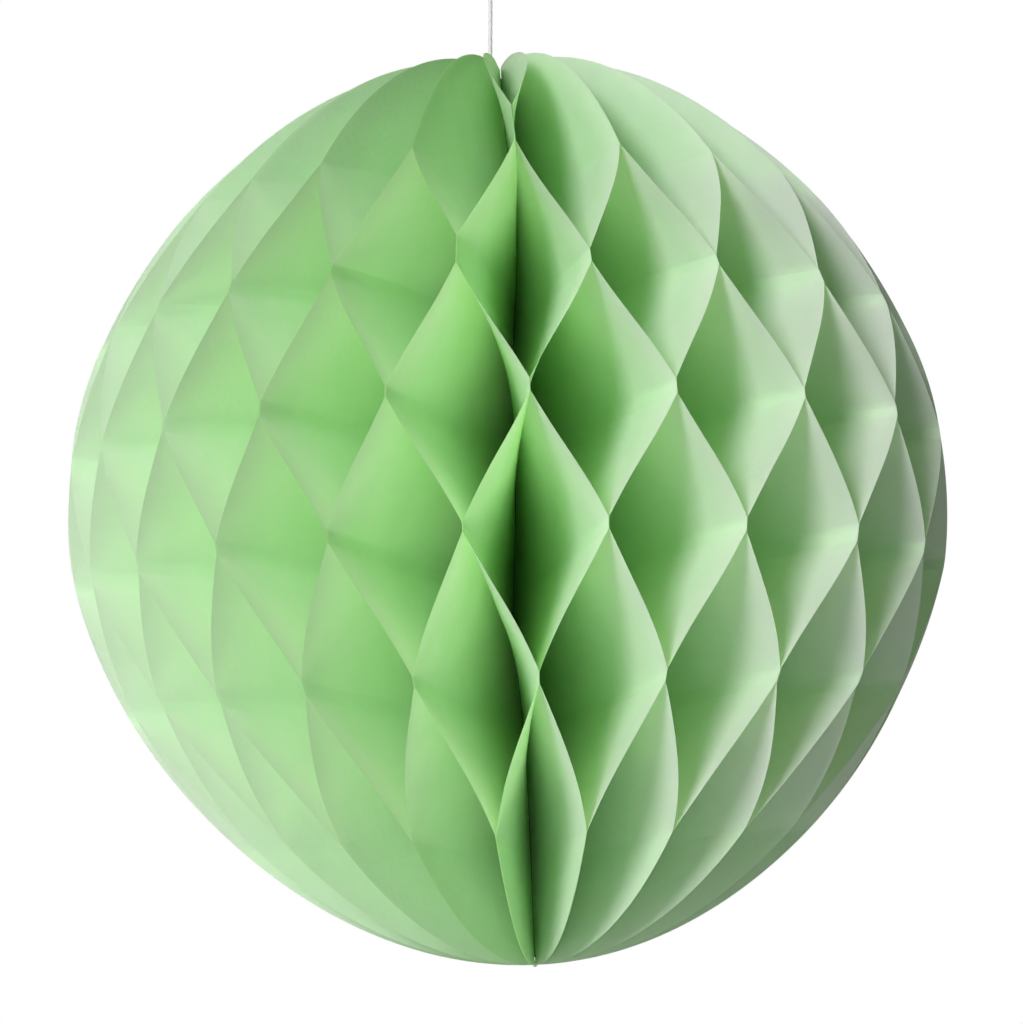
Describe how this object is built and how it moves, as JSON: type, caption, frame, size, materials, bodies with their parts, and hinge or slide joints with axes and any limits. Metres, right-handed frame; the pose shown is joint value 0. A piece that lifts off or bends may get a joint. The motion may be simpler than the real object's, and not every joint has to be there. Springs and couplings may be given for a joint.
{
  "type": "honeycomb paper ball",
  "caption": "Hanging ball of fanned half-disc tissue sheets, glued in turn so that diamond honeycomb cells open between them.",
  "frame": {"origin": "middle of the ball's box, halfway between the two poles; the spine stands 1 mm to its +X side, because the ball is slightly out of round", "axes": "+Z along the stitched spine towards the hanging thread, -Y towards the picture's camera, +X to the right in the picture"},
  "size_m": [0.0962, 0.0962, 0.1459],
  "materials": {
    "tissue": "matte, thin enough for light to shine through",
    "spine_binding": "matte, glued and stitched edges",
    "thread": "twisted sewing thread"
  },
  "bodies": {
    "root": {"paper_sheet_01": "tissue", "paper_sheet_02": "tissue", "paper_sheet_03": "tissue", "paper_sheet_04": "tissue", "paper_sheet_05": "tissue", "paper_sheet_06": "tissue", "paper_sheet_07": "tissue", "paper_sheet_08": "tissue", "paper_sheet_09": "tissue", "paper_sheet_10": "tissue", "paper_sheet_11": "tissue", "paper_sheet_12": "tissue", "paper_sheet_13": "tissue", "paper_sheet_14": "tissue", "paper_sheet_15": "tissue", "paper_sheet_16": "tissue", "paper_sheet_17": "tissue", "paper_sheet_18": "tissue", "paper_sheet_19": "tissue", "paper_sheet_20": "tissue", "paper_sheet_21": "tissue", "paper_sheet_22": "tissue", "paper_sheet_23": "tissue", "paper_sheet_24": "tissue", "paper_sheet_25": "tissue", "paper_sheet_26": "tissue", "paper_sheet_27": "tissue", "paper_sheet_28": "tissue", "paper_sheet_29": "tissue", "paper_sheet_30": "tissue", "paper_sheet_31": "tissue", "paper_sheet_32": "tissue", "paper_sheet_33": "tissue", "paper_sheet_34": "tissue", "paper_sheet_35": "tissue", "paper_sheet_36": "tissue", "paper_sheet_37": "tissue", "paper_sheet_38": "tissue", "paper_sheet_39": "tissue", "paper_sheet_40": "tissue", "paper_sheet_41": "tissue", "paper_sheet_42": "tissue", "paper_sheet_43": "tissue", "paper_sheet_44": "tissue", "stitched_spine": "spine_binding", "lower_knot": "thread", "hanging_thread": "thread", "upper_knot": "thread", "thread_loop": "thread"}
  },
  "joints": []
}
